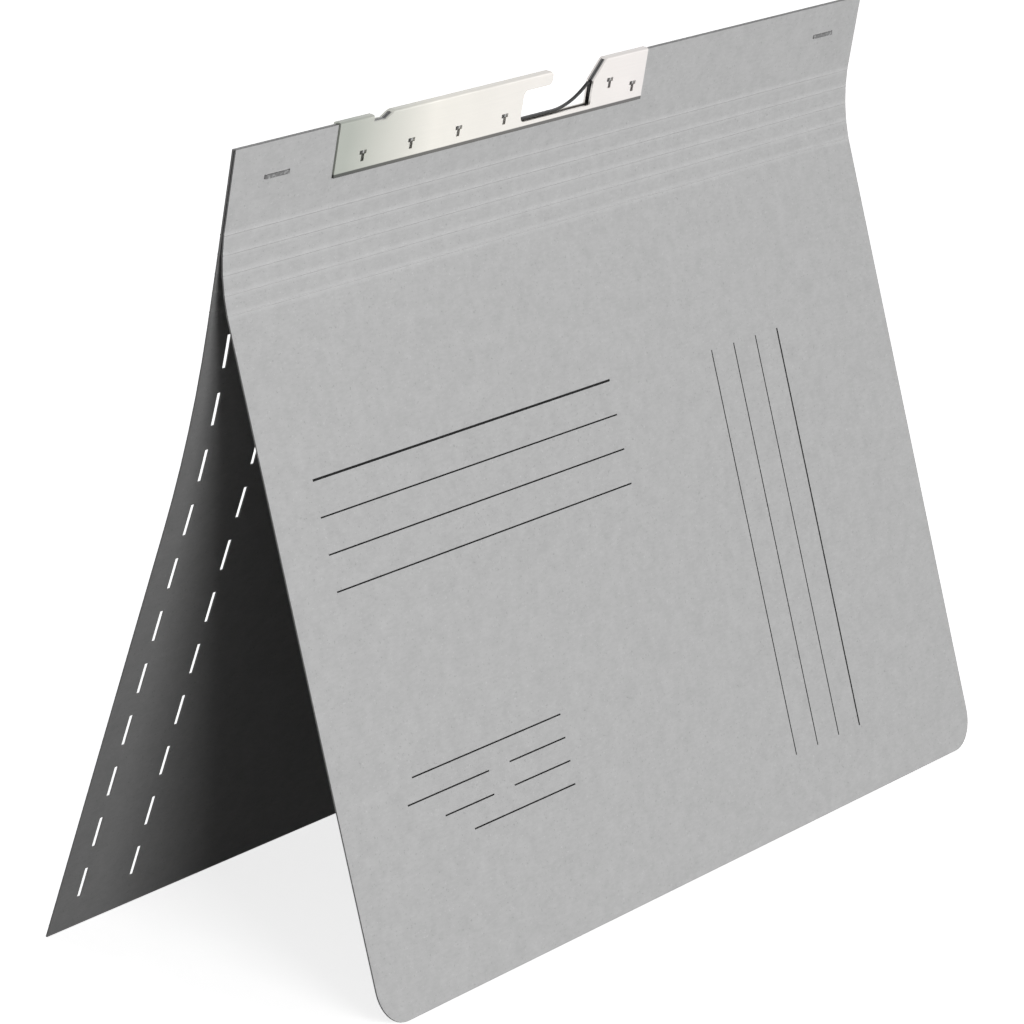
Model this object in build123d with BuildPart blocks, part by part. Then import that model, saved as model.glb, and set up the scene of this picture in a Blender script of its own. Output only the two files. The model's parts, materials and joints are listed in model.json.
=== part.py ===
"""Hanging file folder: two creased card covers, a steel hook rail, a catch spring and staples.

Millimetres. X runs along the rail, the front cover is towards -Y and Z is up. The folder stands
like a tent on the open edges of its covers, and the origin is at the middle of its footprint.
"""
import os
from math import atan2, cos, degrees, radians, sin

from build123d import *

# Card boards
WIDTH = 318.0
BOARD_HEIGHT = 240.0
CARD = 0.45
BOARD_GAP = 0.4
CORNER_RADIUS = 11.0

# Scored creases: a bead on one strip, sunk in the card, turns in a hollow along the next
HEAD_HEIGHT = 23.5
CREASE_PITCH = 5.4
CREASE_COUNT = 5
BEAD_RADIUS = 0.3
BEAD_SUNK = 0.2
BEAD_CLEARANCE = 0.03

# How far each cover is bent away from the head, in all its creases together
FRONT_FOLD_ANGLE = 25.2
REAR_FOLD_ANGLE = 0.5

# Gentle bend of the rear cover below its last crease
BEND_START = 4.0
BEND_LENGTH = 60.0
BEND_ANGLE = 8.7

# Slits for index tabs in the rear cover: side edge to columns, open edge and last crease to rows
SLIT_ROWS = 11
SLIT_LENGTH = 9.8
SLIT_WIDTH = 1.8
SLIT_FIRST = 15.1
SLIT_LAST = 13.0
SLIT_OUTER = 10.2
SLIT_INNER = 33.6

# Suspension rail, set in from the boards' side edge
STEEL = 0.6
RAIL_INSET = 45.3
RAIL_LENGTH = 150.8
RAIL_DEPTH = 14.9
RAIL_BEND = 0.7

# Notch in the rail's top edge, with places from the rail's left end
NOTCH_LEFT = 15.4
NOTCH_RIGHT = 25.1
NOTCH_DEPTH = 2.0
NOTCH_SLOPE = 3.8

# Hook throat: lengths along the rail, and depths below the boards' top edge
THROAT_LENGTH = 35.6
THROAT_INSET = 27.2
THROAT_ROOF = 3.4
THROAT_FLOOR = 12.7
THROAT_CORNER = 1.8
BEAK_LENGTH = 13.8
BEAK_CORNER = 1.6
MOUTH_SLOPE = 5.6
MOUTH_SLOPE_DEPTH = 5.6

# Opening in the boards behind the throat
WINDOW_REACH = 5.6
WINDOW_DEPTH = 14.6
WINDOW_MARGIN = 2.3

# Clinch prongs lanced from the front leg: a row from the left end up to the throat, and two
# beside the mouth, set in from the right end
CLINCH_FIRST = 12.2
CLINCH_ROW = 4
CLINCH_BEFORE_THROAT = 8.3
CLINCH_DEPTH = 12.2
CLINCH_FIFTH_INSET = 18.4
CLINCH_FIFTH_DEPTH = 9.2
CLINCH_SIXTH_INSET = 5.8
CLINCH_SIXTH_DEPTH = 12.0
PRONG_WIDTH = 1.4
PRONG_FOLD = 2.2
LANCE_HEIGHT = 3.1
LANCE_BAR = 3.1
LANCE_BAR_HEIGHT = 1.1
FIT_CLEARANCE = 0.05

# Catch spring: a flat strip hooked round a boss between the rail's legs
CATCH_WIDTH = 0.8
CATCH_THICK = 0.6
BOSS_RADIUS = 0.6
BOSS_BEFORE_THROAT = 3.0
BOSS_DEPTH = 11.15
EYE_WRAP_ANGLE = 250.0
CATCH_FLAT = 20.9
CATCH_RISE_RADIUS = 26.45
CATCH_RISE_ANGLE = 38.5
CATCH_TIP_RADIUS = 0.7
CATCH_TIP_ANGLE = 113.6
CATCH_LEG = 6.0

# Staples
STAPLE_WIDTH = 1.1
STAPLE_THICK = 0.5
STAPLE_CROWN = 10.5
STAPLE_INSET = 19.8
STAPLE_DEPTH = 9.6
STAPLE_BEND = 0.4
STAPLE_CLINCH = 3.4

PANEL_HEIGHT = BOARD_HEIGHT - HEAD_HEIGHT - CREASE_PITCH * (CREASE_COUNT - 1)
HEAD_HALF = BOARD_GAP / 2 + CARD
STAPLE_X = WIDTH / 2 - STAPLE_INSET
RAIL_X = RAIL_INSET - WIDTH / 2
THROAT_RIGHT = RAIL_LENGTH - THROAT_INSET
THROAT_LEFT = THROAT_RIGHT - THROAT_LENGTH
BEAK_TIP = THROAT_LEFT + BEAK_LENGTH
MOUTH_RIGHT = THROAT_RIGHT + MOUTH_SLOPE
BOSS_X = THROAT_LEFT - BOSS_BEFORE_THROAT
CLINCH_PITCH = (THROAT_LEFT - CLINCH_BEFORE_THROAT - CLINCH_FIRST) / (CLINCH_ROW - 1)
BEND_RADIUS = BEND_LENGTH / radians(BEND_ANGLE)
SLIT_PITCH = (PANEL_HEIGHT - SLIT_FIRST - SLIT_LAST) / (SLIT_ROWS - 1)
SEGMENTS = [HEAD_HEIGHT] + [CREASE_PITCH] * (CREASE_COUNT - 1) + [PANEL_HEIGHT]
FRONT = -1
REAR = 1

os.makedirs("parts", exist_ok=True)


def downward(side, heading):
    """Direction along the card towards the open edge, heading degrees outwards from vertical."""
    return Vector(0, side * sin(radians(heading)), -cos(radians(heading)))


def outward(side, heading):
    """Direction square out of a cover's outer face."""
    return Vector(0, side * cos(radians(heading)), sin(radians(heading)))


def crease_line(side, fold_angle, lean, top):
    """Crease places of one board from its top edge down, each with the heading below it."""
    heading = side * lean
    corner = top + outward(side, heading) * (HEAD_HALF - BEAD_SUNK)
    corners = []
    for length in SEGMENTS:
        corners.append((corner, heading))
        corner = corner + downward(side, heading) * length
        heading += fold_angle / CREASE_COUNT
    return corners


def open_edge(side, place, bend_angle):
    """Outer and inner corners of a cover's open edge."""
    corner, heading = place
    end_heading = heading + bend_angle
    corner = corner + downward(side, heading) * BEND_START
    corner = corner + downward(side, heading + bend_angle / 2) * bend_chord(bend_angle)
    corner = corner + downward(side, end_heading) * (PANEL_HEIGHT - BEND_START - BEND_LENGTH)
    outer = corner + outward(side, end_heading) * BEAD_SUNK
    return outer, outer - outward(side, end_heading) * CARD


def bend_chord(bend_angle):
    """Straight distance across a bend, whose length along the card is fixed."""
    if not bend_angle:
        return BEND_LENGTH
    return 2 * BEND_LENGTH / radians(bend_angle) * sin(radians(bend_angle / 2))


def standing(lean, top):
    """Creases of both boards and the corners of both open edges, for one lean of the head."""
    front = crease_line(FRONT, FRONT_FOLD_ANGLE, lean, top)
    rear = crease_line(REAR, REAR_FOLD_ANGLE, lean, top)
    return front, rear, open_edge(FRONT, front[-1], 0), open_edge(REAR, rear[-1], BEND_ANGLE)


# The lean of the head that sets both open edges on one level, then the shift to the footprint
_, _, front_ends, rear_ends = standing(0, Vector(0, 0, 0))
LEAN = degrees(atan2(front_ends[1].Z - rear_ends[1].Z, rear_ends[1].Y - front_ends[1].Y))
_, _, front_ends, rear_ends = standing(LEAN, Vector(0, 0, 0))
TOP = Vector(0, -(front_ends[0].Y + rear_ends[0].Y) / 2, -front_ends[1].Z)
front_corners, rear_corners, front_ends, rear_ends = standing(LEAN, TOP)

# Planes of the head between the boards, from its middle and from the rail's left end:
# X along the rail, Y up, Z to the front
HEAD = Plane(origin=TOP, x_dir=(1, 0, 0), z_dir=outward(FRONT, -LEAN))
RAIL = Plane(origin=TOP + Vector(RAIL_X, 0, 0), x_dir=(1, 0, 0), z_dir=HEAD.z_dir)

notch_corners = [
    (NOTCH_LEFT, STEEL),
    (NOTCH_LEFT, STEEL - NOTCH_DEPTH),
    (NOTCH_RIGHT - NOTCH_SLOPE, STEEL - NOTCH_DEPTH),
    (NOTCH_RIGHT, STEEL),
]
clinch_places = [(CLINCH_FIRST + CLINCH_PITCH * i, CLINCH_DEPTH) for i in range(CLINCH_ROW)]
clinch_places.append((RAIL_LENGTH - CLINCH_FIFTH_INSET, CLINCH_FIFTH_DEPTH))
clinch_places.append((RAIL_LENGTH - CLINCH_SIXTH_INSET, CLINCH_SIXTH_DEPTH))
print("lean", round(LEAN, 3))
print("head plane origin", TOP)


def face_plane(side, place):
    """Plane on a card strip's outer face, X along the rail and Y up the card."""
    corner, heading = place
    outer = corner + outward(side, heading) * BEAD_SUNK
    return Plane(origin=outer, x_dir=(1, 0, 0), z_dir=outward(side, heading) * -side)


def section_plane(side, place):
    """Plane across a card strip at its crease, X down the card and Y towards its outer face."""
    corner, heading = place
    return Plane(origin=corner, x_dir=downward(side, heading), z_dir=(side, 0, 0))


def add_bead(plane, length):
    """Bead along a strip's lower edge."""
    with BuildSketch(plane) as bead:
        with Locations((length, 0)):
            Circle(BEAD_RADIUS)
    extrude(bead.sketch, amount=WIDTH / 2, both=True)


def cut_hollow(plane):
    """Hollow along a strip's upper edge for the bead above it."""
    with BuildSketch(plane) as hollow:
        Circle(BEAD_RADIUS + BEAD_CLEARANCE)
    extrude(hollow.sketch, amount=WIDTH / 2, both=True, mode=Mode.SUBTRACT)


def head_strip(side, place):
    """Head of a board: open behind the hook, torn by the prongs as they fold, pierced for staples."""
    tear = (PRONG_WIDTH + 2 * FIT_CLEARANCE, STEEL + LANCE_HEIGHT + FIT_CLEARANCE)
    tear_foot = STEEL / 2 + FIT_CLEARANCE
    staple_slot = (STAPLE_THICK + 2 * FIT_CLEARANCE, STAPLE_WIDTH + 2 * FIT_CLEARANCE)
    with BuildPart() as strip:
        with BuildSketch(face_plane(side, place)):
            with Locations((0, -HEAD_HEIGHT / 2)):
                Rectangle(WIDTH, HEAD_HEIGHT)
            with BuildLine(mode=Mode.PRIVATE) as window:
                Polyline(
                    (RAIL_X + THROAT_LEFT - WINDOW_REACH, STEEL),
                    (RAIL_X + MOUTH_RIGHT, STEEL),
                    (RAIL_X + THROAT_RIGHT, -MOUTH_SLOPE_DEPTH),
                    (RAIL_X + THROAT_RIGHT + WINDOW_MARGIN, -MOUTH_SLOPE_DEPTH),
                    (RAIL_X + THROAT_RIGHT + WINDOW_MARGIN, -WINDOW_DEPTH),
                    (RAIL_X + THROAT_LEFT - WINDOW_REACH, -WINDOW_DEPTH),
                    close=True,
                )
            make_face(window.edges(), mode=Mode.SUBTRACT)
            with BuildLine(mode=Mode.PRIVATE) as notch:
                Polyline([(RAIL_X + x, height) for x, height in notch_corners], close=True)
            make_face(notch.edges(), mode=Mode.SUBTRACT)
            with Locations([(RAIL_X + x, -depth - tear_foot) for x, depth in clinch_places]):
                Rectangle(*tear, align=(Align.CENTER, Align.MIN), mode=Mode.SUBTRACT)
            with Locations((-STAPLE_X, -STAPLE_DEPTH), (STAPLE_X, -STAPLE_DEPTH)):
                with GridLocations(STAPLE_CROWN, 0, 2, 1):
                    Rectangle(*staple_slot, mode=Mode.SUBTRACT)
        extrude(amount=side * CARD)
        add_bead(section_plane(side, place), HEAD_HEIGHT)
    return strip.part


def fold_strip(side, place):
    """Narrow strip of card between two creases."""
    plane = section_plane(side, place)
    with BuildPart() as strip:
        with BuildSketch(plane):
            with Locations((0, BEAD_SUNK - CARD)):
                Rectangle(CREASE_PITCH, CARD, align=Align.MIN)
        extrude(amount=WIDTH / 2, both=True)
        cut_hollow(plane)
        add_bead(plane, CREASE_PITCH)
    return strip.part


def front_panel(place):
    """Flat front cover with rounded lower corners."""
    with BuildPart() as panel:
        with BuildSketch(face_plane(FRONT, place)) as outline:
            with Locations((0, -PANEL_HEIGHT / 2)):
                Rectangle(WIDTH, PANEL_HEIGHT)
            fillet(outline.vertices().sort_by(Axis.Y)[:2], CORNER_RADIUS)
        extrude(amount=-CARD)
        cut_hollow(section_plane(FRONT, place))
    return panel.part


def bent_line(height):
    """Rear cover's side line at a height above its crease line: straight, bent outwards, straight."""
    top = Line((0, height), (BEND_START, height))
    bend = JernArc(top @ 1, top % 1, BEND_RADIUS - height, BEND_ANGLE)
    low = Line(bend @ 1, (bend @ 1) + (bend % 1) * (PANEL_HEIGHT - BEND_START - BEND_LENGTH))
    return top @ 0, low @ 1


def rear_panel(place):
    """Rear cover with a gentle bend and two columns of slits, its corners square."""
    foot = rear_ends[0]
    heading = place[1] + BEND_ANGLE
    flat = Plane(origin=foot, x_dir=(1, 0, 0), z_dir=outward(REAR, heading) * -1)
    with BuildPart() as panel:
        with BuildSketch(section_plane(REAR, place)):
            with BuildLine():
                outer_top, outer_low = bent_line(BEAD_SUNK)
                inner_top, inner_low = bent_line(BEAD_SUNK - CARD)
                Line(outer_top, inner_top)
                Line(outer_low, inner_low)
            make_face()
        extrude(amount=WIDTH / 2, both=True)
        cut_hollow(section_plane(REAR, place))
        with BuildSketch(flat):
            middle = SLIT_FIRST + SLIT_PITCH * (SLIT_ROWS - 1) / 2
            with Locations([(-WIDTH / 2 + column, middle) for column in (SLIT_OUTER, SLIT_INNER)]):
                with GridLocations(0, SLIT_PITCH, 1, SLIT_ROWS):
                    Rectangle(SLIT_WIDTH, SLIT_LENGTH)
        extrude(amount=SLIT_LENGTH, both=True, mode=Mode.SUBTRACT)
    return panel.part


def suspension_rail():
    """Steel strip bent to a U over both boards, with the hook throat and the clinch prongs."""
    outer = HEAD_HALF + STEEL
    end = RAIL * Plane(origin=(0, 0, 0), x_dir=(0, 0, 1), z_dir=(1, 0, 0))
    with BuildPart() as rail:
        with BuildSketch(end) as section:
            with Locations((0, -STEEL)):
                Rectangle(2 * outer, RAIL_DEPTH + STEEL, align=(Align.CENTER, Align.MIN))
            fillet(section.vertices().sort_by(Axis.Y)[:2], RAIL_BEND)
            Rectangle(2 * HEAD_HALF, RAIL_DEPTH, align=(Align.CENTER, Align.MIN), mode=Mode.SUBTRACT)
        extrude(amount=RAIL_LENGTH)
        with BuildSketch(RAIL) as throat:
            beak_middle = BEAK_TIP - BEAK_CORNER
            with BuildLine():
                Polyline(
                    (beak_middle, STEEL),
                    (MOUTH_RIGHT, STEEL),
                    (THROAT_RIGHT, -MOUTH_SLOPE_DEPTH),
                    (THROAT_RIGHT, -THROAT_FLOOR),
                    (THROAT_LEFT, -THROAT_FLOOR),
                    (THROAT_LEFT, -THROAT_ROOF),
                    (beak_middle, -THROAT_ROOF),
                )
                lower_tip = CenterArc((beak_middle, BEAK_CORNER - THROAT_ROOF), BEAK_CORNER, -90, 90)
                upper_tip = CenterArc((beak_middle, STEEL - BEAK_CORNER), BEAK_CORNER, 0, 90)
                Line(lower_tip @ 1, upper_tip @ 0)
            make_face()
            fillet(throat.vertices().sort_by(Axis.X)[:2], THROAT_CORNER)
        extrude(amount=2 * outer, both=True, mode=Mode.SUBTRACT)
        with BuildSketch(RAIL):
            with BuildLine():
                Polyline(notch_corners, close=True)
            make_face()
        extrude(amount=2 * outer, both=True, mode=Mode.SUBTRACT)
        with BuildSketch(RAIL.offset(outer)):
            for x, depth in clinch_places:
                lance_foot = -depth + STEEL / 2
                with Locations((x, lance_foot)):
                    Rectangle(PRONG_WIDTH, LANCE_HEIGHT, align=(Align.CENTER, Align.MIN))
                with Locations((x, lance_foot + LANCE_HEIGHT)):
                    Rectangle(LANCE_BAR, LANCE_BAR_HEIGHT, align=(Align.CENTER, Align.MAX))
        extrude(amount=-STEEL, mode=Mode.SUBTRACT)
        with BuildSketch(RAIL.offset(HEAD_HALF)):
            with Locations([(x, -depth) for x, depth in clinch_places]):
                Rectangle(PRONG_WIDTH, STEEL)
        extrude(amount=-2 * HEAD_HALF)
        with BuildSketch(RAIL.offset(-outer)):
            with Locations([(x, -depth + STEEL / 2) for x, depth in clinch_places]):
                Rectangle(PRONG_WIDTH, PRONG_FOLD, align=(Align.CENTER, Align.MAX))
        extrude(amount=-STEEL)
        with BuildSketch(RAIL.offset(HEAD_HALF)):
            with Locations((BOSS_X, -BOSS_DEPTH)):
                Circle(BOSS_RADIUS)
        extrude(amount=-2 * HEAD_HALF)
    return rail.part


def catch_spring():
    """Strip hooked round the boss, flat along the throat, rising to a sharp bend and a short leg."""
    eye_radius = BOSS_RADIUS + FIT_CLEARANCE + CATCH_THICK / 2
    run_height = -BOSS_DEPTH - eye_radius
    with BuildPart() as spring:
        with BuildLine(RAIL) as path:
            flat = Line((BOSS_X, run_height), (BOSS_X + CATCH_FLAT, run_height))
            rise = JernArc(flat @ 1, flat % 1, CATCH_RISE_RADIUS, CATCH_RISE_ANGLE)
            tip = JernArc(rise @ 1, rise % 1, CATCH_TIP_RADIUS, -CATCH_TIP_ANGLE)
            Line(tip @ 1, (tip @ 1) + (tip % 1) * CATCH_LEG)
            CenterArc((BOSS_X, -BOSS_DEPTH), eye_radius, -90, -EYE_WRAP_ANGLE)
        strip_line = path.wires()[0]
        with BuildSketch(Plane(origin=strip_line @ 0, x_dir=RAIL.z_dir, z_dir=strip_line % 0)):
            Rectangle(CATCH_WIDTH, CATCH_THICK)
        sweep(path=strip_line)
    return spring.part


def staple(x):
    """Flat-crowned staple through both boards, its ends clinched inwards behind them."""
    reach = HEAD_HALF + STAPLE_THICK / 2
    half = STAPLE_CROWN / 2
    level = HEAD * Plane(origin=(x, -STAPLE_DEPTH, 0), x_dir=(1, 0, 0), z_dir=(0, 1, 0))
    with BuildPart() as wire_staple:
        with BuildLine(level) as path:
            FilletPolyline(
                (half - STAPLE_CLINCH, reach),
                (half, reach),
                (half, -reach),
                (-half, -reach),
                (-half, reach),
                (-half + STAPLE_CLINCH, reach),
                radius=STAPLE_BEND,
            )
        wire = path.wires()[0]
        with BuildSketch(Plane(origin=wire @ 0, x_dir=HEAD.y_dir, z_dir=wire % 0)):
            Rectangle(STAPLE_WIDTH, STAPLE_THICK)
        sweep(path=wire)
    return wire_staple.part


def save(part, name):
    """Label a finished piece and write it as its own file."""
    part.label = name
    export_step(part, f"parts/{name}.step")
    print(name, len(part.solids()), "solid", round(part.volume, 2), "mm3")


save(head_strip(FRONT, front_corners[0]), "front_head_strip")
save(head_strip(REAR, rear_corners[0]), "rear_head_strip")
for number in range(1, CREASE_COUNT):
    save(fold_strip(FRONT, front_corners[number]), f"front_fold_strip_{number}")
    save(fold_strip(REAR, rear_corners[number]), f"rear_fold_strip_{number}")
save(front_panel(front_corners[CREASE_COUNT]), "front_cover")
save(rear_panel(rear_corners[CREASE_COUNT]), "rear_cover")
save(suspension_rail(), "suspension_rail")
save(catch_spring(), "catch_spring")
save(staple(-STAPLE_X), "left_staple")
save(staple(STAPLE_X), "right_staple")

for number in range(1, CREASE_COUNT + 1):
    print("front crease", number, front_corners[number][0], "rear crease", rear_corners[number][0])
print("catch pivot", RAIL.from_local_coords((BOSS_X, -BOSS_DEPTH, 0)))
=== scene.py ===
# %% [markdown]
# # A hanging file folder, dressed for the camera
# The folder is two sheets of grey recycled card, a bright steel rail with a hook, a black catch in
# the hook's throat and two staples. It stands like a tent on the open edges of its covers. The
# packed frame already holds every solid at its real size, so this lesson gives each one its finish,
# prints the ruled lines on the front cover, and sets up the floor, the light and the camera.

# %% Load the frame
import json
import math

import bmesh
import bpy
from mathutils import Matrix, Vector


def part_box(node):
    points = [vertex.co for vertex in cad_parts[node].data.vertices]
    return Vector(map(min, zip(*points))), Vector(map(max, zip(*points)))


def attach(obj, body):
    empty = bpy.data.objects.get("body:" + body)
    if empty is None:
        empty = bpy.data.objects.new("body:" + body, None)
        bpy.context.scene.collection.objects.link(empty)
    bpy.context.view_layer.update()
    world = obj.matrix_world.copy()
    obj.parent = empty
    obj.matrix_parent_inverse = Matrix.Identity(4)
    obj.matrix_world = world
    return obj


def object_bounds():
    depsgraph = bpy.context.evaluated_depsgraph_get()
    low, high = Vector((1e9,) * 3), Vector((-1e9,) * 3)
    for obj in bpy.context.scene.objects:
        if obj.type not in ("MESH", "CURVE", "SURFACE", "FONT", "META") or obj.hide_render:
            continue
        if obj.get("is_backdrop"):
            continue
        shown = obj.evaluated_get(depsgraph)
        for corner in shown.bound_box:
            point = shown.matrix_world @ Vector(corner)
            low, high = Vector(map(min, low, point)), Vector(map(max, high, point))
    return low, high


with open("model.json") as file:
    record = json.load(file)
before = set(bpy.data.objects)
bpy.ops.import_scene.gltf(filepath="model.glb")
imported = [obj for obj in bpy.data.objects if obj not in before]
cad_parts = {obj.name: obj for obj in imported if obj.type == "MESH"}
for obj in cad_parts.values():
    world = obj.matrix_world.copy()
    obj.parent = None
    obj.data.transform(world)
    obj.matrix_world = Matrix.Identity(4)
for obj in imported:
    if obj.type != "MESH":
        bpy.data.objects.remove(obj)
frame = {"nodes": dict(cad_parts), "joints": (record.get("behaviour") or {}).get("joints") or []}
cad_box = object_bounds()
nodes = frame["nodes"]
joints = {joint["name"]: joint for joint in frame["joints"]}
print(len(nodes), "nodes:", sorted(nodes))
print(len(joints), "joints:", sorted(joints))

# %% [markdown]
# ## Shader maths as plain Python
# A finish is a handful of patterns added and multiplied together. Wiring Math nodes by hand hides
# that sum, so a small class wraps a socket and lets Python's own operators add the nodes. The
# reflected forms let a plain number stand first, as in 1 - mask.

# %% A socket that takes part in sums


class Value:
    """One output socket, usable in Python expressions."""

    def __init__(self, recipe, socket):
        self.recipe = recipe
        self.socket = socket

    def maths(self, operation, first, second):
        """One Math node as a Value."""
        return self.recipe.add("ShaderNodeMath", {"operation": operation}, {0: first, 1: second})

    def __add__(self, other):
        return self.maths("ADD", self, other)

    def __radd__(self, other):
        return self.maths("ADD", other, self)

    def __sub__(self, other):
        return self.maths("SUBTRACT", self, other)

    def __rsub__(self, other):
        return self.maths("SUBTRACT", other, self)

    def __mul__(self, other):
        return self.maths("MULTIPLY", self, other)

    def __rmul__(self, other):
        return self.maths("MULTIPLY", other, self)

    def __gt__(self, other):
        return self.maths("GREATER_THAN", self, other)

    def __lt__(self, other):
        return self.maths("LESS_THAN", self, other)


print("a Value takes + - * > and <, with another Value or a plain number")

# %% [markdown]
# ## One method for every other node
# Patterns, ramps and mixes are nodes with options and sockets. Written out one by one, their links
# would drown the idea of a finish. So one method adds any node. It sets the options first, because
# they decide which sockets are in use, and then it sets or links the sockets.

# %% The nodes of a material or of the world


def set_stops(ramp, stops):
    """Give a colour ramp its stops, each a place and a colour."""
    while len(ramp) < len(stops):
        ramp.new(1.0)
    for stop, (place, colour) in zip(ramp, stops):
        stop.position = place
        stop.color = colour


class Recipe:
    """The nodes of one material, or of the world."""

    def __init__(self, owner):
        owner.use_nodes = True
        self.owner = owner
        self.tree = owner.node_tree

    def feed(self, node, sockets):
        """Link or set a node's inputs, by number or by the name of one in use."""
        for key, content in sockets.items():
            if isinstance(key, int):
                target = node.inputs[key]
            else:
                target = next(s for s in node.inputs if s.enabled and s.name == key)
            if isinstance(content, Value):
                self.tree.links.new(content.socket, target)
            else:
                target.default_value = content

    def add(self, kind, settings=None, sockets=None, output=None):
        """Add one node and return an output as a Value, the first in use unless one is named."""
        node = self.tree.nodes.new(kind)
        for key, content in (settings or {}).items():
            if key == "stops":
                set_stops(node.color_ramp.elements, content)
            else:
                setattr(node, key, content)
        self.feed(node, sockets or {})
        outputs = [s for s in node.outputs if s.enabled]
        chosen = outputs[0] if output is None else next(s for s in outputs if s.name == output)
        return Value(self, chosen)


print("a Recipe offers", [name for name in vars(Recipe) if not name.startswith("_")])

# %% [markdown]
# ## Patterns at their real size
# Clouds, streaks and specks come back in every finish of this folder. Each could be a picture laid
# on the piece, but a picture blurs close up and has to be unwrapped. Noise on Object coordinates,
# which are in metres, has the real size anywhere and rides with its piece as the folder opens.

# %% What the finishes share


def grey(level):
    """Opaque neutral colour."""
    return (level, level, level, 1.0)


class Finish(Recipe):
    """The nodes of a new material, with the patterns that several finishes use."""

    def __init__(self, name):
        super().__init__(bpy.data.materials.new(name))

    def place(self, stretch=None):
        """Object coordinates in metres, multiplied by stretch where it is given."""
        spot = self.add("ShaderNodeTexCoord", output="Object")
        if stretch is None:
            return spot
        return self.add("ShaderNodeMapping", {}, {"Vector": spot, "Scale": stretch})

    def noise(self, where, size, detail, roughness=0.55):
        """Cloudy pattern from 0 to 1, with clouds of the given size."""
        sockets = {"Vector": where, "Scale": 1.0 / size, "Detail": detail, "Roughness": roughness}
        return self.add("ShaderNodeTexNoise", {}, sockets, "Fac")

    def ramp(self, factor, *stops):
        """Colour or grey chosen by factor."""
        return self.add("ShaderNodeValToRGB", {"stops": stops}, {"Fac": factor}, "Color")

    def mix(self, factor, first, second):
        """Colours mixed by factor."""
        sockets = {"Factor": factor, "A": first, "B": second}
        return self.add("ShaderNodeMix", {"data_type": "RGBA"}, sockets, "Result")

    def bump(self, height, strength, distance):
        """Normals bent by a height pattern."""
        sockets = {"Height": height, "Strength": strength, "Distance": distance}
        return self.add("ShaderNodeBump", {}, sockets, "Normal")

    def surface(self, sockets):
        """Set the surface shader's sockets and return the material."""
        self.feed(self.tree.nodes["Principled BSDF"], sockets)
        return self.owner


print("a Finish adds", [name for name in vars(Finish) if not name.startswith("_")])

# %% [markdown]
# ## Creases painted pale, as wear and highlight
# Each board is scored with five creases below its head. Their ridges stand up a little and are
# painted paler, partly as fibres rubbed by folding and partly as a painted highlight. They could be
# painted strip by strip, but they lie at almost even steps up the board, so a ping-pong of the
# height gives the way to the nearest one.

# %% Where the creases lie
MM = 0.001
RIDGE_HALF = 1.4 * MM
CREASES = sum(name.startswith("front_crease_") for name in joints)


def crease_levels(side):
    """Heights of a board's lowest and highest crease."""
    heights = [joints[f"{side}_crease_{i}"]["pos_m"][2] for i in (CREASES, 1)]
    return tuple(heights)


def crease_ridges(card, where, side):
    """Factor that is 1 on a board's creases and fades to 0 beside them."""
    low, high = crease_levels(side)
    half_step = (high - low) / (CREASES - 1) / 2
    height = card.add("ShaderNodeSeparateXYZ", {}, {"Vector": where}, "Z")
    gap = card.add("ShaderNodeMath", {"operation": "PINGPONG"}, {0: height - low, 1: half_step})
    near = card.ramp(gap * (1.0 / RIDGE_HALF), (0.0, grey(1.0)), (1.0, grey(0.0)))
    return near * (height > low - RIDGE_HALF) * (height < high + RIDGE_HALF)


for side in ("front", "rear"):
    low, high = crease_levels(side)
    print(CREASES, side, "creases, from", round(low / MM, 1), "to", round(high / MM, 1), "mm up")

# %% [markdown]
# ## Grey card
# The covers are uncoated recycled card. Pulp clouds are a few millimetres wide, fibres are shorter
# and lie along the sheet, and dark and pale specks are left from the waste paper. One cloudy noise
# alone looks like concrete. So the sheet is built up in layers, each at its own size: pulp first,
# then specks, then the creases painted pale as wear and highlight, and a fine tooth that keeps the
# surface matt. The rear board is a shade deeper than the front one.

# %% Pulp and fibres
CARD_PALE = 0.50
CARD_DEEP = 0.42
PULP_THIN = 0.3
PULP_THICK = 0.7
CLOUD_SIZE = 5.0 * MM
FIBRE_SIZE = 0.9 * MM
FIBRE_STRETCH = (0.35, 1.0, 1.0)


def card_fibres(card):
    """Short fibres that lie along the sheet."""
    return card.noise(card.place(FIBRE_STRETCH), FIBRE_SIZE, detail=3.0, roughness=0.6)


def card_pulp(card, where, fibres, shade):
    """Grey of the pulp, from its thin places to its thick ones."""
    clouds = card.noise(where, CLOUD_SIZE, detail=4.0)
    thin = (PULP_THIN, grey(CARD_DEEP * shade))
    thick = (PULP_THICK, grey(CARD_PALE * shade))
    return card.ramp((clouds + fibres) * 0.5, thin, thick)


print("card greys from", CARD_DEEP, "to", CARD_PALE)

# %% Specks
SPECK_SIZE = 0.7 * MM
DARK_SPECKS = ((0.27, grey(0.35)), (0.31, grey(0.0)))
DARK_SPECK_TONE = 0.2
PALE_SPECKS = ((0.70, grey(0.0)), (0.74, grey(0.3)))
PALE_SPECK_TONE = 0.68


def card_specks(card, where, body, shade):
    """The pulp's colour with dark and pale specks in it."""
    specks = card.noise(where, SPECK_SIZE, detail=1.0)
    body = card.mix(card.ramp(specks, *DARK_SPECKS), body, grey(DARK_SPECK_TONE * shade))
    return card.mix(card.ramp(specks, *PALE_SPECKS), body, grey(PALE_SPECK_TONE * shade))


print("specks about", round(SPECK_SIZE / MM, 1), "mm wide")

# %% Card finish
TOOTH_SIZE = 0.25 * MM
TOOTH_RAISED = 0.01
RIDGE_TONE = 0.75
RIDGE_WEAR_AND_HIGHLIGHT = 0.22
RIDGE_RAISED = 0.08
CARD_ROUGH = 0.78
FIBRE_ROUGH = 0.16
CARD_SHINE = 0.25
BOARD_SHADES = {"front": 1.0, "rear": 0.94}


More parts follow.
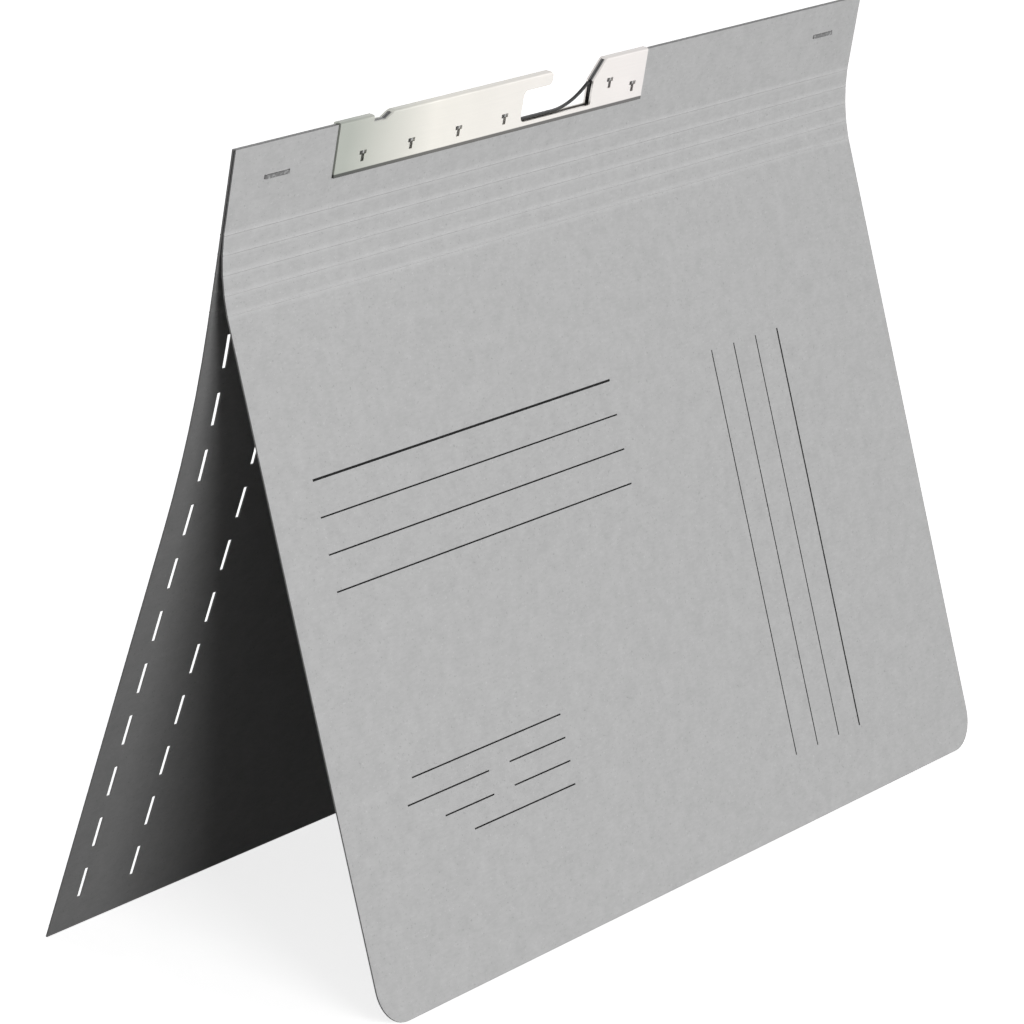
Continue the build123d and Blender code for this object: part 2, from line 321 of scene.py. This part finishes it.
def grey_card(name, side, shade):
    """Uncoated card: pulp, specks, creases painted pale as wear and highlight, and a fine tooth."""
    card = Finish(name)
    where = card.place()
    fibres = card_fibres(card)
    ridges = crease_ridges(card, where, side)
    body = card_specks(card, where, card_pulp(card, where, fibres, shade), shade)
    tooth = card.noise(where, TOOTH_SIZE, detail=2.0)
    # TOOTH_RAISED and RIDGE_RAISED are in millimetres, and the bump's distance is one millimetre.
    height = (tooth + fibres) * (0.5 * TOOTH_RAISED) + ridges * RIDGE_RAISED
    return card.surface(
        {
            # The crease ridges are painted paler: partly rubbed fibres, partly a painted highlight.
            "Base Color": card.mix(ridges * RIDGE_WEAR_AND_HIGHLIGHT, body, grey(RIDGE_TONE * shade)),
            "Roughness": CARD_ROUGH + fibres * FIBRE_ROUGH,
            "Normal": card.bump(height, 1.0, MM),
            "Specular IOR Level": CARD_SHINE,
        }
    )


for side, shade in BOARD_SHADES.items():
    card_finish = grey_card(f"grey_card_{side}", side, shade)
    strips = [name for name in nodes if name.startswith(side)]
    for name in strips:
        nodes[name].data.materials[0] = card_finish
    print(card_finish.name, "on", strips)

# %% [markdown]
# ## Bright rail
# The rail is thin steel strip with a bright nickel plate. Rolling leaves fine streaks along its
# length, and handling leaves cloudy smears that change the gloss. The left end is darker and a
# little greener, the right end a little pinker, and a dark line of painted shadow runs along the
# sheared lower edge, where the rail meets the card. An anisotropic shader could stretch the
# highlights, but noise stretched along X gives single streaks.

# %% Where the rail lies
rail_low, rail_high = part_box("suspension_rail")
rail_length = rail_high[0] - rail_low[0]
# The catch turns about a line square to the head, so that line gives the head's lean.
square_out = Vector(joints["catch_flex"]["axis"])
head_down = Vector((0.0, square_out.z, -square_out.y))
rail_foot = max(vertex.co.dot(head_down) for vertex in nodes["suspension_rail"].data.vertices)
head_lean = math.degrees(math.atan2(square_out.z, square_out.y))
print("rail", round(rail_length / MM, 1), "mm long, head leans", round(head_lean, 2), "degrees")

# %% Tint from end to end
TINT_LEFT = (0.35, 0.37, 0.33, 1.0)
TINT_MIDDLE = (0.715, 0.695, 0.64, 1.0)
TINT_RIGHT = (0.70, 0.665, 0.65, 1.0)
TINT_STOPS = ((0.03, TINT_LEFT), (0.30, TINT_MIDDLE), (1.0, TINT_RIGHT))


def rail_tint(plate, where):
    """Colour of the plate, from the rail's left end to its right end."""
    along = plate.add("ShaderNodeSeparateXYZ", {}, {"Vector": where}, "X")
    share = (along - rail_low[0]) * (1.0 / rail_length)
    return plate.ramp(share, *TINT_STOPS)


print("rail tint in", len(TINT_STOPS), "stops")

# %% Painted shadow along the lower edge
EDGE_SHADOW_WIDTH = 0.9 * MM
EDGE_SHADOW_FADE = 0.2 * MM
EDGE_SHADOW_MOST = 0.85
EDGE_SHADOW_TONE = 0.03


def painted_edge_shadow(plate, where):
    """Factor of painted shadow: 0 on the plate, rising to its full share along the rail's lower
    edge.
    """
    settings = {"operation": "DOT_PRODUCT"}
    depth = plate.add("ShaderNodeVectorMath", settings, {0: where, 1: head_down}, "Value")
    past = (depth - (rail_foot - EDGE_SHADOW_WIDTH - EDGE_SHADOW_FADE)) * (1.0 / EDGE_SHADOW_FADE)
    return plate.ramp(past, (0.0, grey(0.0)), (1.0, grey(EDGE_SHADOW_MOST)))


print("dark edge", round(EDGE_SHADOW_WIDTH / MM, 2), "mm wide")

# %% Nickel finish
STREAK_SIZE = 0.35 * MM
STREAK_STRETCH = (0.02, 1.0, 1.0)
STREAK_DULLS = 0.2
DULL_TONE = 0.45
STREAK_BUMP = 0.12
STREAK_DEPTH = 0.02 * MM
SMEAR_SIZE = 12.0 * MM
PLATE_ROUGH = 0.2
SMEAR_ROUGH = 0.16
STREAK_ROUGH = 0.1


def nickel_plate(name):
    """Nickelled strip with rolling streaks, smears and a painted shadow along its lower edge."""
    plate = Finish(name)
    where = plate.place()
    streaks = plate.noise(plate.place(STREAK_STRETCH), STREAK_SIZE, detail=3.0, roughness=0.65)
    smears = plate.noise(where, SMEAR_SIZE, detail=4.0)
    dulled = plate.mix(STREAK_DULLS * streaks, rail_tint(plate, where), grey(DULL_TONE))
    return plate.surface(
        {
            # The sheared lower edge is darkened by a painted shadow.
            "Base Color": plate.mix(painted_edge_shadow(plate, where), dulled, grey(EDGE_SHADOW_TONE)),
            "Metallic": 1.0,
            "Roughness": PLATE_ROUGH + smears * SMEAR_ROUGH + streaks * STREAK_ROUGH,
            "Normal": plate.bump(streaks, STREAK_BUMP, STREAK_DEPTH),
        }
    )


nodes["suspension_rail"].data.materials[0] = nickel_plate("nickel_plate")
print(nodes["suspension_rail"].data.materials[0].name, "on suspension_rail")

# %% [markdown]
# ## Catch and staples
# The catch is blackened spring strip, dark all over, partly its own colour and partly painted shade
# in the hook's throat, and rubbed greyer in patches where the filing bar slides on it. The staples
# are zinc wire, duller than the rail and painted dark, partly as dull zinc and partly as painted
# shade under them, with small bright scuffs. Two recipes would say the same thing twice: both are a
# dull coat with paler rubs, so one recipe takes the two tones and how metallic the coat is.

# %% Dark and dull metal
RUB_SIZE = 1.2 * MM
RUB_STOPS = ((0.52, grey(0.0)), (0.75, grey(1.0)))
RUB_BUMP = 0.1
RUB_DEPTH = 0.03 * MM
RUB_ROUGH = 0.2
COAT_ROUGH = 0.3


def small_metal(name, base, rubbed, metallic):
    """Coated wire or strip with rubbed patches."""
    coat = Finish(name)
    rubs = coat.noise(coat.place(), RUB_SIZE, detail=4.0, roughness=0.6)
    return coat.surface(
        {
            "Base Color": coat.mix(coat.ramp(rubs, *RUB_STOPS), grey(base), grey(rubbed)),
            "Metallic": metallic,
            "Roughness": COAT_ROUGH + rubs * RUB_ROUGH,
            "Normal": coat.bump(rubs, RUB_BUMP, RUB_DEPTH),
        }
    )


# The catch's near-black is partly its own colour and partly painted shade in the hook's throat; the
# staples' dark zinc is partly dull zinc and partly painted shade under them.
blackened_strip = small_metal("blackened_strip", base=0.012, rubbed=0.06, metallic=0.4)
staple_zinc = small_metal("staple_zinc", base=0.13, rubbed=0.36, metallic=0.8)
nodes["catch_spring"].data.materials[0] = blackened_strip
for name in ("left_staple", "right_staple"):
    nodes[name].data.materials[0] = staple_zinc
print(blackened_strip.name, "on catch_spring,", staple_zinc.name, "on both staples")

# %% [markdown]
# ## A flat frame on the front cover
# The cover is a flat panel that leans back from its open edge to its last crease. Lines set out
# along the world's axes would miss it. A matrix with one axis across the card, one up it and one out
# of it lets the printing be measured on the flat, across from the middle and up from the open edge.
# The lean could be copied from the part's source, but worked out from the frame it stays true.

# %% Where the front cover lies
CARD = 0.45 * MM
CREASE_SUNK = 0.2 * MM
FIT_ROUNDS = 4
cover_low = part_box("front_cover")[0]
crease = Vector(joints[f"front_crease_{CREASES}"]["pos_m"])
heading = 0.0
# The foot of the outer face shifts a little with the lean, so a few rounds settle both.
for _ in range(FIT_ROUNDS):
    up = Vector((0.0, math.sin(heading), math.cos(heading)))
    out = Vector((0.0, -math.cos(heading), math.sin(heading)))
    foot = Vector((0.0, cover_low[1], cover_low[2] + CARD * math.sin(heading)))
    rise = crease + out * CREASE_SUNK - foot
    heading = math.atan2(rise.y, rise.z)
face = Matrix((Vector((1.0, 0.0, 0.0)), up, out)).transposed().to_4x4()
face.translation = foot
print("front cover leans", round(math.degrees(heading), 2), "degrees")

# %% [markdown]
# ## Ruled lines
# The front cover carries ruled lines in black ink: a block of writing lines, a column of lines for
# sideways notes, and a small form near the open edge, where two lines are broken by a gap. They
# could be listed one by one, but each block is evenly ruled, so a first line and a pitch place the
# rest. Every line is kept as a rectangle in millimetres.

# %% Writing lines
THIN = 0.45
BOLD = 0.68
WRITING_LEFT = -138.9
WRITING_RIGHT = 5.0
WRITING_TOP = 146.6
WRITING_PITCH = 10.2
WRITING_LINES = 4


def level_line(left, right, level, width):
    """A line across the cover, as left, bottom, right and top."""
    return (left, level - width / 2, right, level + width / 2)


lines = []
for i in range(WRITING_LINES):
    level = WRITING_TOP - WRITING_PITCH * i
    lines.append(level_line(WRITING_LEFT, WRITING_RIGHT, level, BOLD if i == 0 else THIN))
print(len(lines), "lines with the writing block")

# %% Sideways lines
SIDE_LEFT = 59.7
SIDE_PITCH = 12.35
SIDE_LINES = 4
SIDE_BOTTOM = 21.0
SIDE_TOP = 145.3

for i in range(SIDE_LINES):
    width = BOLD if i == SIDE_LINES - 1 else THIN
    x = SIDE_LEFT + SIDE_PITCH * i
    lines.append((x - width / 2, SIDE_BOTTOM, x + width / 2, SIDE_TOP))
print(len(lines), "lines with the sideways column")

# %% Form lines
FORM_STARTS = (-124.5, -128.9, -113.6, -102.1)
FORM_RIGHT = -52.5
FORM_TOP = 61.2
FORM_PITCH = 6.75
FORM_BROKEN = (1, 2)
FORM_BREAK = (-90.3, -80.3)

for i, start in enumerate(FORM_STARTS):
    level = FORM_TOP - FORM_PITCH * i
    stretches = [(start, FORM_RIGHT)]
    if i in FORM_BROKEN:
        stretches = [(start, FORM_BREAK[0]), (FORM_BREAK[1], FORM_RIGHT)]
    for left, right in stretches:
        lines.append(level_line(left, right, level, THIN))
print(len(lines), "lines with the form")

# %% [markdown]
# ## Ink
# Printed ink lies in a film on the card, thinner where the card's tooth shows through. It could be
# a mask in the card's finish, but thin bars keep their edges sharp at any distance. So each line is
# a flat bar that stands two hundredths of a millimetre proud of the card and reaches a little into
# it, and all of them are one piece that rides on the front cover.

# %% Bars of ink
INK_PROUD = 0.02
INK_SUNK = 0.01


def new_piece(name, work):
    """Object made from a finished bmesh and linked to the scene."""
    mesh = bpy.data.meshes.new(name)
    work.to_mesh(mesh)
    work.free()
    piece = bpy.data.objects.new(name, mesh)
    bpy.context.scene.collection.objects.link(piece)
    return piece


def print_rules(name):
    """One piece of flat ink bars on the front cover."""
    work = bmesh.new()
    for left, bottom, right, top in lines:
        size = Vector((right - left, top - bottom, INK_PROUD + INK_SUNK)) * MM
        middle = Vector(((left + right) / 2, (bottom + top) / 2, (INK_PROUD - INK_SUNK) / 2)) * MM
        shape = Matrix.Translation(middle) @ Matrix.Diagonal((*size, 1.0))
        bmesh.ops.create_cube(work, size=1.0, matrix=face @ shape)
    return new_piece(name, work)


rules = print_rules("printed_rules")
print(rules.name, "has", len(rules.data.polygons), "faces")

# %% Ink finish
INK_STOPS = ((0.35, grey(0.004)), (0.75, grey(0.03)))
INK_ROUGH = 0.6
INK_TOOTH_ROUGH = 0.25
INK_SHINE = 0.08


def printing_ink(name):
    """Matt dark ink, thinner where the card's tooth shows through."""
    ink = Finish(name)
    tooth = ink.noise(ink.place(), TOOTH_SIZE, detail=2.0)
    return ink.surface(
        {
            "Base Color": ink.ramp(tooth, *INK_STOPS),
            "Roughness": INK_ROUGH + tooth * INK_TOOTH_ROUGH,
            "Specular IOR Level": INK_SHINE,
        }
    )


rules.data.materials.append(printing_ink("printing_ink"))
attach(rules, "front_cover")
print(rules.data.materials[0].name, "on", rules.name)

# %% [markdown]
# ## Pale floor
# The folder stands on a plain white floor. A floor that bright would throw light up into the tent,
# where the real one is dark, and a darker floor would look grey. The kind of ray tells the two
# apart: the floor is pale to rays from the camera, a mirror or clear glass, and dim to bounced
# light. It still takes the folder's soft shadow.

# %% Floor
FLOOR_HALF = 6.0
FLOOR_SHOWN = 0.94
FLOOR_BOUNCE = 0.08
FLOOR_GLOW = 0.80
FLOOR_ROUGH = 0.9


def plain_sight(recipe):
    """1 where the camera, a mirror or clear glass sees a thing, 0 where only its light counts."""
    rays = ("Is Camera Ray", "Is Glossy Ray", "Is Transmission Ray")
    seen, mirrored, through = (recipe.add("ShaderNodeLightPath", output=ray) for ray in rays)
    return seen + mirrored + through


def pale_floor():
    """Large plane, pale to the camera and dim to bounced light."""
    work = bmesh.new()
    bmesh.ops.create_grid(work, x_segments=1, y_segments=1, size=FLOOR_HALF)
    floor = new_piece("floor", work)
    paint = Finish("pale_floor")
    shown = plain_sight(paint)
    paint.surface(
        {
            "Base Color": paint.mix(shown, grey(FLOOR_BOUNCE), grey(FLOOR_SHOWN)),
            "Roughness": FLOOR_ROUGH,
            "Emission Color": paint.mix(shown, grey(0.0), grey(1.0)),
            "Emission Strength": FLOOR_GLOW,
        }
    )
    floor.data.materials.append(paint.owner)
    return floor


pale_floor()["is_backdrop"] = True
print("floor", 2 * FLOOR_HALF, "m square")

# %% [markdown]
# ## Studio lamps
# The front cover is evenly lit, and inside the tent the light fades from the rear cover's left edge
# to near black. A bright sky would light the inside as much as the outside, so lamps do most of the
# work. A low soft sun from the front and right lights the cover, and a softbox from the front and
# left also reaches in to the rear cover's edge. A third, wide sun lights the back for other views.
# It is kept out of mirror reflections, because the bright rail would clip to white in it.

# %% Hang the lamps
FOLDER_MIDDLE = Vector((0.0, 0.0, 0.12))
SOFTBOX_TOWARDS = Vector((-0.42, -0.80, 0.32))
SOFTBOX_DISTANCE = 2.2
SOFTBOX_SIZE = 0.9
SOFTBOX_POWER = 14.0
SUN_DISTANCE = 2.0
KEY_TOWARDS = Vector((0.35, -0.92, 0.08))
BACK_TOWARDS = Vector((0.30, 0.90, 0.20))


def hang_lamp(lamp, towards, distance):
    """Put a lamp out along a direction and point it back at the folder."""
    holder = bpy.data.objects.new(lamp.name, lamp)
    holder.location = FOLDER_MIDDLE + towards.normalized() * distance
    holder.rotation_euler = towards.to_track_quat("Z", "Y").to_euler()
    bpy.context.scene.collection.objects.link(holder)
    return holder


def soft_sun(name, towards, strength, angle):
    """Sun lamp with a disc that many degrees wide, for soft shadows."""
    lamp = bpy.data.lights.new(name, "SUN")
    lamp.energy = strength
    lamp.angle = math.radians(angle)
    return hang_lamp(lamp, towards, SUN_DISTANCE)


softbox = bpy.data.lights.new("softbox", "AREA")
softbox.energy = SOFTBOX_POWER
softbox.size = SOFTBOX_SIZE
hang_lamp(softbox, SOFTBOX_TOWARDS, SOFTBOX_DISTANCE)
soft_sun("key_sun", KEY_TOWARDS, strength=2.1, angle=9.0)
back_sun = soft_sun("back_sun", BACK_TOWARDS, strength=2.3, angle=30.0)
back_sun.visible_glossy = False

# %% [markdown]
# ## White background, weak sky
# The background is plain white and the shadows are filled by only a little light from all round. A
# white world would fill them far too much. As on the floor, the kind of ray decides: the world is
# white where it is seen or mirrored, and weak where it lights the folder. The Standard view shows
# colours as they are written.

# %% Sky
SKY_STRENGTH = 0.115

studio = Recipe(bpy.data.worlds.new("studio"))
bpy.context.scene.world = studio.owner
sky_level = SKY_STRENGTH + plain_sight(studio) * (1.0 - SKY_STRENGTH)
studio.feed(studio.tree.nodes["Background"], {"Color": grey(1.0), "Strength": sky_level})
bpy.context.scene.view_settings.view_transform = "Standard"
print("sky lights at", SKY_STRENGTH, "and shows white")

# %% [markdown]
# ## Camera
# The photograph looks at the folder from the front and left, a little from above, through a long
# lens. A camera could be aimed by eye, but on a flat cover an error of a degree is plain to see. So
# its place, its three angles and its focal length, as a share of the picture's width, were fitted
# to the photographed outline. It has no shift, because a shift would push the folder aside in other
# views.

# %% Camera
CAMERA_PLACE = Vector((-1.1914, -0.7873, 0.4978))
CAMERA_AZIMUTH = 56.108
CAMERA_ELEVATION = 15.610
CAMERA_ROLL = 1.702
FOCAL_SHARE = 4.9637
SENSOR = 36.0

azimuth = math.radians(CAMERA_AZIMUTH)
elevation = math.radians(CAMERA_ELEVATION)
across = Vector((math.sin(azimuth), math.cos(azimuth), 0.0)) * math.cos(elevation)
ahead = across - Vector((0.0, 0.0, math.sin(elevation)))
turn = ahead.to_track_quat("-Z", "Y").to_matrix().to_4x4()
roll = Matrix.Rotation(math.radians(CAMERA_ROLL), 4, "Z")
lens = bpy.data.cameras.new("photo_camera")
lens.lens = FOCAL_SHARE * SENSOR
lens.sensor_width = SENSOR
camera = bpy.data.objects.new("photo_camera", lens)
camera.matrix_world = Matrix.Translation(CAMERA_PLACE) @ turn @ roll
bpy.context.scene.collection.objects.link(camera)
bpy.context.scene.camera = camera
print("camera", round((CAMERA_PLACE - FOLDER_MIDDLE).length, 2), "m away, lens", round(lens.lens, 1))

# The box that was measured straight after loading and the box of everything that shows now are
# set side by side, and their largest difference is printed.

# %% Measure how far the boxes differ, and finish
visual_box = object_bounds()
grown = [abs(new - old) for corners in zip(visual_box, cad_box) for new, old in zip(*corners)]
print("boxes differ by at most", round(max(grown) / MM, 3), "mm")
